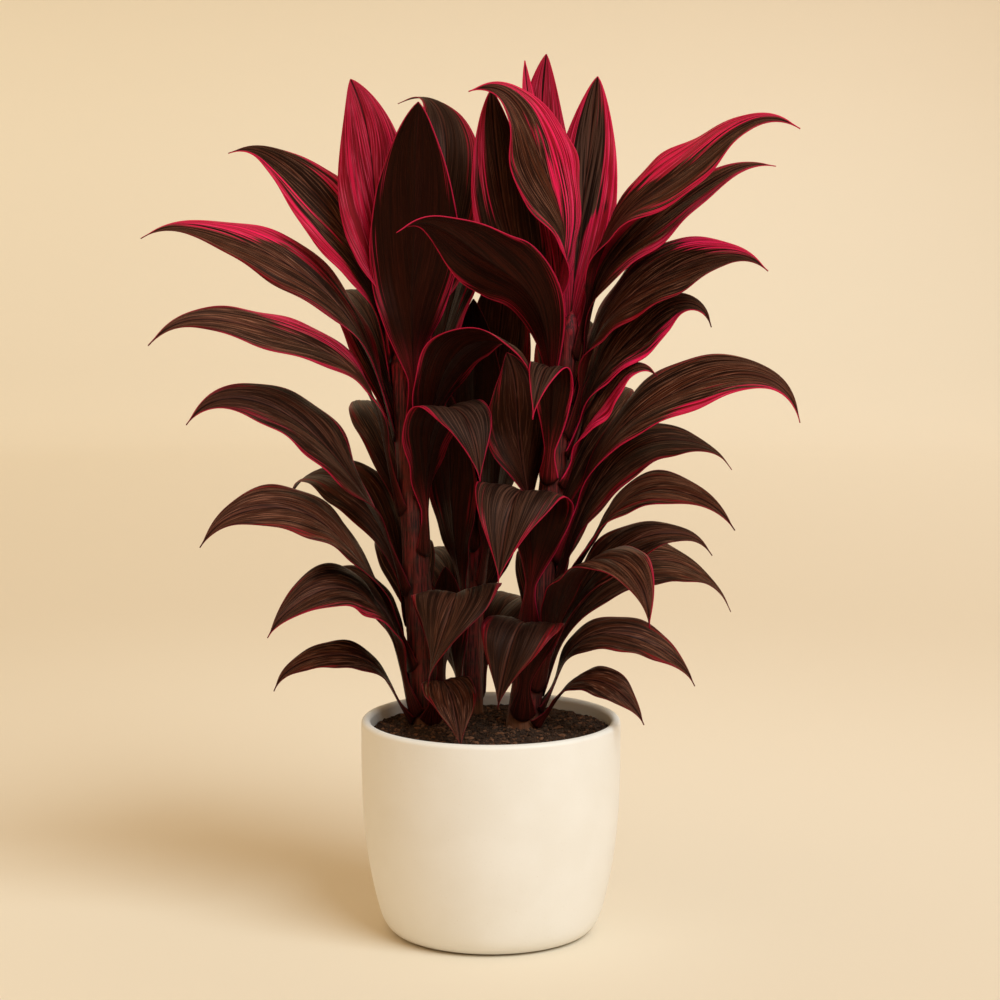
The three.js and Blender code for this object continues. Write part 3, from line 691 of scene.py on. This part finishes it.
# Steps of the leaf's finish: a low and a high value, and what is given at each, if not 0 and 1
STREAK_STEP = (0.45, 0.61)
LINE_MIDDLE = 0.5
LINE_STEP = (0.0, 0.045, 1.0, 0.0)
LINE_BREAKS = (0.38, 0.58)
CLOUD_STEP = (0.36, 0.66)
SHADE_STEP = (0.56, 0.36, 0.0, 0.75)
# The outer step lightens the streaks towards the outer blade, partly as painted light
OUTER_STEP = (0.22, 0.55, 0.35, 1.0)
HEAT_STEP = (0.3, 1.1)
WANDER_STEP = (-1.0, -0.6, 0.4, 1.0)
ZONE_STEP = (-0.06, 0.16)
EDGE_STARTS = (0.3, 0.9, 0.2, 0.6)
EDGE_ENDS = (0.3, 0.9, 0.9, 1.6)
EDGE_STRENGTH = (0.2, 0.6, 0.45, 0.9)
RED_STEP = (0.3, 0.8)
STALK_STEP = (0.10, 0.34, 0.85, 0.0)
ON_BLADE_STEP = (0.15, 0.3)
BESIDE_STEP = (0.3, 1.1, 0.4, 0.0)
CREASE_STEP = (0.35, 1.2, 0.9, 0.0)
FOOT_STEP = (0.0, 0.035, 0.9, 0.0)
ROUGHNESS_STEP = (0.3, 0.7, 0.36, 0.56)

# How far the broad and the coarse streaks move the pink's inner edge, and the coarse ones the margin's line
WANDER_SHARES = (1.3, 1.1)
WANDER_MIDDLE = 1.2
EDGE_WANDER = 2.4
EDGE_MIDDLE = 1.2
BESIDE_DISTANCE = 2.0


class LeafFinish(Finish):
    """Dark maroon blades streaked along their veins, with pink margins and patches."""

    def __init__(self, name):
        super().__init__(name, LEAF_ROUGHNESS, LEAF_SPECULAR)
        self.shader.inputs["Specular Tint"].default_value = (*LEAF_SHEEN, 1)
        self.along = self.value("along")
        self.upper = self.value("upper_side")
        self.bright = self.value("bright")
        self.coarse = self.streaks(*COARSE_STREAKS)
        self.fine = self.streaks(*FINE_STREAKS)
        self.broad = self.streaks(*BROAD_STREAKS)
        mixed = self.sum(self.coarse, COARSE_SHARE, self.times(self.fine, 1 - COARSE_SHARE))
        self.streak = self.step(mixed, *STREAK_STEP)
        line = self.step(self.apart(self.coarse, LINE_MIDDLE), *LINE_STEP)
        self.line = self.times(line, self.step(self.fine, *LINE_BREAKS))
        self.cloud = self.step(self.broad, *CLOUD_STEP)

    def streaks(self, per_mm, per_leaf, shift):
        """Noise drawn out along the veins."""
        across = self.times(self.value("vein"), per_mm)
        seed = self.math("ADD", self.value("seed"), shift)
        place = self.node("CombineXYZ", {"X": across, "Y": self.times(self.along, per_leaf), "Z": seed})
        return self.noise(place, *STREAK_NOISE)

    def brown(self, lit, outer):
        colour = self.blend(lit, *BROWN)
        colour = self.blend(self.times(self.cloud, BROWN_CLOUD_SHARE), colour, BROWN_CLOUD)
        colour = self.blend(self.step(self.broad, *SHADE_STEP), colour, BROWN_SHADE)
        line = self.times(self.times(self.line, outer), BROWN_LINE_SHARE)
        colour = self.blend(line, colour, BROWN_LINE)
        # Painted sheen: some leaves' brown is greyed where light falls on their glossy upper face
        return self.blend(self.times(self.value("painted_sheen"), PAINTED_SHEEN_SHARE), colour, self.blend(lit, *PAINTED_SHEEN_BROWN))

    def maroon(self, lit):
        colour = self.blend(lit, *MAROON)
        colour = self.blend(self.times(self.cloud, MAROON_CLOUD_SHARE), colour, MAROON_CLOUD)
        return self.blend(self.times(self.line, MAROON_LINE_SHARE), colour, MAROON_LINE)

    def plain(self):
        """Brown above and maroon below, more streaked away from the base. The darker base and the lighter
        outer blade are partly painted light.
        """
        # Painted light and shade: the streaks grow towards the outer blade, and their strength is set leaf by
        # leaf by how lit each leaf is
        outer = self.times(self.step(self.along, *OUTER_STEP), self.value("tan_and_painted_light"))
        lit = self.times(self.streak, outer)
        return self.blend(self.upper, self.maroon(lit), self.brown(lit, outer))

    def pink(self):
        """Dull to hot pink by its brightness, and deeper below."""
        heat = self.step(self.bright, *HEAT_STEP)
        colour = self.blend(self.rest(self.streak), self.blend(heat, *PINK), self.blend(heat, *PINK_SHADE))
        cloud = self.blend(self.bright, *PINK_CLOUD)
        colour = self.blend(self.times(self.cloud, PINK_CLOUD_SHARE), colour, cloud)
        line = self.blend(self.bright, *PINK_LINE)
        colour = self.blend(self.times(self.line, PINK_LINE_SHARE), colour, line)
        return self.blend(self.times(self.rest(self.upper), PINK_BELOW_SHARE), colour, PINK_BELOW)

    def zone(self):
        """Where the leaf is pink. The streaks carry the pink inwards."""
        blush = self.value("blush")
        wander = self.sum(self.broad, WANDER_SHARES[0], self.times(self.coarse, WANDER_SHARES[1]))
        wander = self.math("SUBTRACT", wander, WANDER_MIDDLE)
        wander = self.times(wander, self.step(blush, *WANDER_STEP))
        return self.step(self.math("ADD", blush, wander), *ZONE_STEP)

    def edge(self):
        """A thin line along the margin, wider and stronger where the pink is bright."""
        inside = self.math("SUBTRACT", self.value("margin_distance"), EDGE_MIDDLE)
        inside = self.sum(self.coarse, EDGE_WANDER, inside)
        starts, ends = self.step(self.bright, *EDGE_STARTS), self.step(self.bright, *EDGE_ENDS)
        return self.times(self.step(inside, starts, ends, 1.0, 0.0), self.step(self.bright, *EDGE_STRENGTH))

    def stalk(self):
        red = self.step(self.bright, *RED_STEP)
        return self.blend(self.streak, self.blend(red, *STALK_SHADE), self.blend(red, *STALK_LIGHT))

    def finished(self):
        zone = self.zone()
        colour = self.blend(zone, self.plain(), self.pink())
        colour = self.blend(self.step(self.along, *STALK_STEP), colour, self.stalk())
        rib_distance = self.value("rib_distance")
        on_blade = self.step(self.along, *ON_BLADE_STEP)
        beside = self.step(self.apart(rib_distance, BESIDE_DISTANCE), *BESIDE_STEP)
        beside = self.times(beside, self.times(self.upper, on_blade))
        colour = self.blend(beside, colour, self.blend(zone, *BESIDE_RIB))
        crease = self.times(self.step(rib_distance, *CREASE_STEP), on_blade)
        colour = self.blend(crease, colour, CREASE)
        colour = self.blend(self.edge(), colour, self.blend(self.bright, *EDGE))
        self.colour(self.blend(self.step(self.along, *FOOT_STEP), colour, LEAF_FOOT))
        self.roughness(self.step(self.fine, *ROUGHNESS_STEP))
        self.bump(self.sum(self.coarse, BUMP_SHARES[0], self.times(self.fine, BUMP_SHARES[1])), *LEAF_BUMP)
        return self.material


# Bark: its grain by direction, its colours from dark to light, and where the young and the pale bark lie
BARK_GRAIN = (520, 520, 26)
BARK = ((0.016, 0.0032, 0.0022), (0.17, 0.018, 0.0145))
BARK_STEP = (0.36, 0.66)
BARK_SCAR = (0.060, 0.020, 0.012)
BARK_SCAR_SHARE = 0.45
YOUNG_BARK = ((0.050, 0.0035, 0.0045), (0.26, 0.0080, 0.0160))
YOUNG_BARK_STEP = (0.42, 0.60)
YOUNG_BARK_PLACE = (60.0, 0.0)
BARK_FOOT = ((0.07, 0.024, 0.011), (0.26, 0.11, 0.048))
BARK_FOOT_STEP = (4.0, 24.0, 0.8, 0.0)


def cane_finish():
    """Fluted stem wrapped in old leaf bases: dark maroon with reddish streaks upwards, paler at the foot."""
    bark = Finish("cane", roughness=0.6, specular=0.25)
    stretched = bark.node("Mapping", {"Vector": bark.here(), "Scale": BARK_GRAIN})
    grain = bark.noise(stretched, scale=1.0, detail=4.0, roughness=0.6)
    colour = bark.blend(bark.step(grain, *BARK_STEP), *BARK)
    colour = bark.blend(bark.times(bark.value("scar"), BARK_SCAR_SHARE), colour, BARK_SCAR)
    young = bark.blend(bark.step(grain, *YOUNG_BARK_STEP), *YOUNG_BARK)
    colour = bark.blend(bark.step(bark.value("below_tip"), *YOUNG_BARK_PLACE), colour, young)
    foot = bark.step(bark.value("above_mix"), *BARK_FOOT_STEP)
    bark.colour(bark.blend(foot, colour, bark.blend(grain, *BARK_FOOT)))
    bark.bump(grain, strength=0.7, distance=0.0014)
    return bark.material


PEAT = ((0.009, 0.0045, 0.0026), (0.105, 0.052, 0.028))
PEAT_STEP = (0.35, 0.7)
PALE_CRUMB = ((0.07, 0.026, 0.012), (0.36, 0.16, 0.080))
PALE_CRUMB_STEP = (0.55, 1.0)


def soil_finish():
    """Damp potting mix: nearly black, with reddish-brown specks."""
    peat = Finish("soil", roughness=0.92, specular=0.25)
    here = peat.here()
    fine = peat.noise(here, scale=900, detail=5.0, roughness=0.65)
    speck = peat.noise(here, scale=420)
    colour = peat.blend(peat.step(fine, *PEAT_STEP), *PEAT)
    tone = peat.step(peat.value("tone"), *PALE_CRUMB_STEP)
    peat.colour(peat.blend(tone, colour, peat.blend(speck, *PALE_CRUMB)))
    peat.bump(fine, strength=0.9, distance=0.0015)
    return peat.material


GLAZE = ((0.86, 0.835, 0.775), (0.89, 0.87, 0.82))
GLAZE_CLOUD_STEP = (0.3, 0.7)
GLAZE_SPECK = (0.62, 0.52, 0.39)
GLAZE_SPECK_STEP = (0.70, 0.76, 0.0, 0.35)
GLAZE_FOOT_DARK = (0.55, 0.45, 0.33)
GLAZE_FOOT_DARK_STEP = (0.0, 0.012, 0.5, 0.0)
GLAZE_ROUGHNESS = (0.44, 0.56)
GLAZE_CLOUD_HEIGHT = 3.0


def pot_finish():
    """Matte cream glaze, faintly mottled and specked, and a little darker at the foot."""
    glaze = Finish("pot", roughness=0.5, specular=0.4)
    here = glaze.here()
    cloud = glaze.noise(here, scale=14, detail=3.0)
    speck = glaze.noise(here, scale=700)
    skin = glaze.noise(here, scale=260, detail=3.0)
    colour = glaze.blend(glaze.step(cloud, *GLAZE_CLOUD_STEP), *GLAZE)
    colour = glaze.blend(glaze.step(speck, *GLAZE_SPECK_STEP), colour, GLAZE_SPECK)
    # Darker, mottled brown in the lowest 12 mm of the pot
    foot_dark = glaze.times(glaze.step(glaze.height(here), *GLAZE_FOOT_DARK_STEP), cloud)
    glaze.colour(glaze.blend(foot_dark, colour, GLAZE_FOOT_DARK))
    glaze.roughness(glaze.step(cloud, *GLAZE_CLOUD_STEP, *GLAZE_ROUGHNESS))
    glaze.bump(glaze.sum(cloud, GLAZE_CLOUD_HEIGHT, skin), strength=0.12, distance=0.0006)
    return glaze.material


# The paper's colours at its left and its right: by the pot, far from it, and where it bends up. They are
# painted light and shade: darker on the left and lighter on the right, and darker far off and in the bend.
NEAR_PAPER = ((0.82, 0.725, 0.56), (0.91, 0.84, 0.72))
FAR_PAPER = ((0.665, 0.55, 0.385), (0.80, 0.705, 0.565))
BENT_PAPER = ((0.595, 0.48, 0.33), (0.74, 0.65, 0.515))
PAPER_GRAIN = (0.76, 0.67, 0.53)
PAPER_GRAIN_SHARE = 0.3
PAPER_REACH = 1.8
NEAR_TO_FAR = (0.5, 2.2)
BEND_STARTS = (-0.1, 0.2)
BEND_ENDS = (1.15, 0.3)


def floor_finish():
    """Warm paper, with painted light and shade: darker on the left, lighter on the right, and darker far from
    the pot and where it bends up.
    """
    paper = Finish("floor", roughness=0.85, specular=0.2)
    here = paper.here()
    grain = paper.noise(here, scale=900)
    sideways = paper.step(paper.node("SeparateXYZ", {"Vector": here}, "X"), -PAPER_REACH, PAPER_REACH)
    height = paper.height(here)
    bend = paper.times(paper.step(height, *BEND_STARTS), paper.step(height, *BEND_ENDS))
    # Painted shade: the far paper and its bend are darker, most on the left, to even out how the sun lights
    # the wall
    far = paper.blend(bend, paper.blend(sideways, *FAR_PAPER), paper.blend(sideways, *BENT_PAPER))
    away = paper.node("VectorMath", {0: here}, "Value", operation="LENGTH")
    # Painted shade: by the pot the paper is darker on the left, where the shadow falls
    pale = paper.blend(paper.step(away, *NEAR_TO_FAR), paper.blend(sideways, *NEAR_PAPER), far)
    paper.colour(paper.blend(paper.times(grain, PAPER_GRAIN_SHARE), pale, PAPER_GRAIN))
    return paper.material


# Canes, in millimetres

CANE_SIDES = 72
CANE_STEP = 3
# The tip: shares of the cane's radius there, and heights above its end. Even steps stop below it.
CANE_TIP = [(1, -8), (0.85, -3), (0.6, 4), (0.3, 9), (0, 12)]
STEPS_STOP = 9
PLAIN_TIP = 12
LEAST_RADIUS = 1e-6
RING_SPACING = 18
RING_SHARPNESS = 9
RING_TILT = 2.5
RING_TWIST = 0.09
RING_HEIGHT = 0.35
# Flutes: how many around, how they twist upwards, and how high each kind is
FLUTES = ((7, 0.035, 1), (13, -0.05, 0.5))
FLUTE_HEIGHT = 0.32
CANE_INSET = 0.15


def cane_piece(name, cane, material):
    """A cane with a tilted ring where each old leaf was, and a tapered growing tip."""
    top = cane["height"]
    profile = [(0, -ROOT_DEPTH), (cane_radius(cane, 0), -ROOT_DEPTH)]
    profile += [(cane_radius(cane, z), z) for z in np.arange(0, top - STEPS_STOP, CANE_STEP)]
    profile += [(cane_radius(cane, top) * share, top + above) for share, above in CANE_TIP]
    points, faces = turned(profile, CANE_SIDES)
    angle = np.arctan2(points[:, 1], points[:, 0])
    height = points[:, 2].copy()
    level = (height + RING_TILT * np.cos(angle + height * RING_TWIST)) / RING_SPACING
    ring = np.exp(-((level - np.round(level)) * RING_SHARPNESS) ** 2)
    on_cane = (height > 0) & (height < top - PLAIN_TIP)
    flutes = sum(share * np.sin(count * angle + twist * height) for count, twist, share in FLUTES)
    grown = (RING_HEIGHT * ring + FLUTE_HEIGHT * flutes - CANE_INSET) * on_cane
    radius = np.maximum(np.hypot(points[:, 0], points[:, 1]), LEAST_RADIUS)
    points[:, :2] *= (1 + grown / radius)[:, None]
    values = {"scar": ring * on_cane, "above_mix": height, "below_tip": top - height}
    points = placed(points, stance(cane))
    return piece("cane_" + name, points, faces, material, ["cane_" + name], values)


# Mix, in millimetres

SOIL_SIDES = 200
SOIL_RINGS = 62
SOIL_WALL_HEIGHTS = (24, 45, 80, 125, 185)
# Its edge: how far in from the wall, and how far below the top
SOIL_EDGE = ((0, 4), (0.4, 1), (1.5, 0))
SOIL_MIDDLE = 2
# Lumps by size across and height
LUMPS = ((11, 1.3), (4.5, 1.1), (2.2, 0.7))


def fine_soil_height(x, y):
    lumps = sum(height * noise.noise(Vector((x / size, y / size, size))) for size, height in LUMPS)
    return soil_height(x, y) + lumps


def soil_piece(material):
    """The whole body of the mix, with a crumbly top."""
    radius = POT_RADIUS - POT_WALL - GAP
    floor = POT_FLOOR + GAP
    wall = [(pot_radius(height) - POT_WALL - GAP, height) for height in SOIL_WALL_HEIGHTS]
    edge = [(radius - inwards, SOIL_TOP - below) for inwards, below in SOIL_EDGE]
    across = [edge[-1][0] - (radius - SOIL_MIDDLE) * k / SOIL_RINGS for k in range(1, SOIL_RINGS)]
    profile = [(0, floor), (POT_FLOOR_RADIUS - GAP, floor), *wall, *edge]
    profile += [(reach, SOIL_TOP) for reach in across] + [(0, SOIL_TOP)]
    points, faces = turned(profile, SOIL_SIDES)
    for point in points:
        if point[2] == SOIL_TOP:
            point[2] = fine_soil_height(point[0], point[1])
    return piece("soil", points, faces, material, ["soil"], {"tone": np.zeros(len(points))})


CRUMB_SEED = 7
# Crumbs by size in millimetres from and to, how many, how flat, and how often the ball is divided
CRUMBS = [(0.7, 1.4, 3200, 0.8, 1), (1.3, 2.6, 900, 0.7, 2), (2.2, 4.2, 160, 0.45, 2)]
CRUMB_REACH = POT_RADIUS - POT_WALL - 5
CRUMB_ROUGHNESS = (0.75, 1.2)
CRUMB_SHAPE = (1.25, 0.8)
CRUMB_TILT = 0.6
CRUMB_LIFT = 0.3


def ball(divisions):
    mesh = bmesh.new()
    bmesh.ops.create_icosphere(mesh, subdivisions=divisions, radius=1)
    points = np.array([vertex.co[:] for vertex in mesh.verts])
    faces = np.array([[vertex.index for vertex in face.verts] for face in mesh.faces])
    mesh.free()
    return points, faces


def crumb(chance, points, low, high, flat):
    """Points of one crumb, at a place by chance on the mix."""
    reach = CRUMB_REACH * math.sqrt(chance.random())
    angle = 2 * math.pi * chance.random()
    x, y = reach * math.cos(angle), reach * math.sin(angle)
    size = chance.uniform(low, high)
    rough = points * (size * chance.uniform(*CRUMB_ROUGHNESS, (len(points), 1))) * (*CRUMB_SHAPE, flat)
    spin = Matrix.Rotation(2 * math.pi * chance.random(), 3, "Z")
    spin = spin @ Matrix.Rotation(chance.uniform(-CRUMB_TILT, CRUMB_TILT), 3, "X")
    height = fine_soil_height(x, y) + CRUMB_LIFT * size * flat
    return rough @ np.array(spin).T + (x, y, height)


def crumb_piece(material):
    """Loose crumbs of bark and peat that lie on the mix."""
    chance = np.random.default_rng(CRUMB_SEED)
    all_points, all_faces, tones, count = [], [], [], 0
    for low, high, number, flat, divisions in CRUMBS:
        points, faces = ball(divisions)
        for _ in range(number):
            all_points.append(crumb(chance, points, low, high, flat))
            all_faces.append(faces + count)
            tones.append(np.full(len(points), chance.random()))
            count += len(points)
    values = {"tone": np.concatenate(tones)}
    return piece("soil_crumbs", np.vstack(all_points), all_faces, material, [], values, smooth=False)


# Pot, in millimetres

POT_SIDES = 192
POT_LEVELS = 44
RIM_STEPS = 18
INSIDE_START = 24


def pot_piece(material):
    """The pot, smooth where its solid has flats."""
    share = np.linspace(0, 1, POT_LEVELS)
    outside = list(zip(*(along_values(numbers, share) for numbers in zip(*POT_OUTSIDE))))
    lip = POT_WALL / 2
    angles = np.linspace(0, math.pi, RIM_STEPS)
    rim = [(POT_RADIUS - lip + lip * math.cos(a), POT_HEIGHT - lip + lip * math.sin(a)) for a in angles]
    wall = [(r - POT_WALL, z) for r, z in outside[::-1] if z > INSIDE_START]
    inside = [*wall, (POT_FLOOR_RADIUS, POT_FLOOR), (0, POT_FLOOR)]
    points, faces = turned([(0, 0), *outside, *rim, *inside], POT_SIDES)
    return piece("pot", points, faces, material, ["pot"])


# Studio, in metres and degrees

FLOOR_RINGS = (0.4, 1.5, 3.0)
FLOOR_SIDES = 96
FLOOR_RADIUS = 4.4
BEND_RADIUS = 1.2
WALL_HEIGHT = 3.2
SUN_DIRECTION = (0.64, -0.77, 0.85)
SUN_STRENGTH = 2.75
SUN_SOFTNESS = 40
SUN_COLOUR = (0.78, 0.91, 1.0)
WORLD_COLOUR = (1.0, 0.72, 0.43)
WORLD_STRENGTH = 0.70
CAMERA_PLACE = (0.0098, -2.9722, 0.8791)
CAMERA_PITCH = 7.8
CAMERA_LENS = 101
CAMERA_SENSOR = 36


def studio_floor():
    """A round floor that bends up into a low wall."""
    bend = [math.radians(angle) for angle in range(0, 91, 10)]
    profile = [(reach, 0) for reach in FLOOR_RINGS]
    profile += [(FLOOR_RADIUS + BEND_RADIUS * math.sin(a), BEND_RADIUS * (1 - math.cos(a))) for a in bend]
    profile.append((FLOOR_RADIUS + BEND_RADIUS, WALL_HEIGHT))
    around = [2 * math.pi * k / FLOOR_SIDES for k in range(FLOOR_SIDES)]
    points = [(r * math.cos(angle), r * math.sin(angle), z) for r, z in profile for angle in around]
    faces = grid_faces(len(profile), FLOOR_SIDES, wrap=True)[:, ::-1].tolist()
    faces.append(list(range(FLOOR_SIDES)))
    mesh = bpy.data.meshes.new("floor")
    mesh.from_pydata(points, [], faces)
    mesh.polygons.foreach_set("use_smooth", [True] * len(mesh.polygons))
    mesh.materials.append(floor_finish())
    floor = bpy.data.objects.new("floor", mesh)
    bpy.context.scene.collection.objects.link(floor)


def sunlight():
    """Light from the right and the front, softened as if through a broad screen."""
    light = bpy.data.lights.new("key", "SUN")
    light.energy = SUN_STRENGTH
    light.angle = math.radians(SUN_SOFTNESS)
    light.color = SUN_COLOUR
    made = bpy.data.objects.new("key", light)
    made.rotation_mode = "QUATERNION"
    made.rotation_quaternion = Vector(SUN_DIRECTION).to_track_quat("Z", "Y")
    bpy.context.scene.collection.objects.link(made)


def studio():
    """Floor, warm light from all round, and sunlight."""
    studio_floor()
    sunlight()
    world = bpy.data.worlds.new("studio")
    world.use_nodes = True
    background = world.node_tree.nodes["Background"]
    background.inputs["Color"].default_value = (*WORLD_COLOUR, 1)
    background.inputs["Strength"].default_value = WORLD_STRENGTH
    bpy.context.scene.world = world
    bpy.context.scene.view_settings.view_transform = "Standard"


def camera():
    """At the photograph's viewing angle, a little above the leaves' middle and pitched down."""
    data = bpy.data.cameras.new("camera")
    data.sensor_width = CAMERA_SENSOR
    data.lens = CAMERA_LENS
    made = bpy.data.objects.new("camera", data)
    made.location = CAMERA_PLACE
    made.rotation_euler = (math.radians(90 - CAMERA_PITCH), 0, 0)
    bpy.context.scene.collection.objects.link(made)
    bpy.context.scene.camera = made


def canes_and_leaves():
    finishes = {slot: LeafFinish(slot).finished() for slot in ("leaf_dark", "leaf_pink")}
    bark = cane_finish()
    slots = {part["node"]: part["material_slot"] for part in frame["record"]["subparts"]}
    for place, cane in CANES.items():
        cane_piece(place, cane, bark)
        for index, leaf in enumerate(cane["leaves"]):
            name = f"{place}_{index + 1:02d}"
            slot = slots["leaf_" + name]
            leaf_piece(name, cane, leaf, index, finishes[slot])


def mix_and_pot():
    peat = soil_finish()
    soil_piece(peat)
    crumb_piece(peat)
    pot_piece(pot_finish())


camera()
studio()
canes_and_leaves()
mix_and_pot()
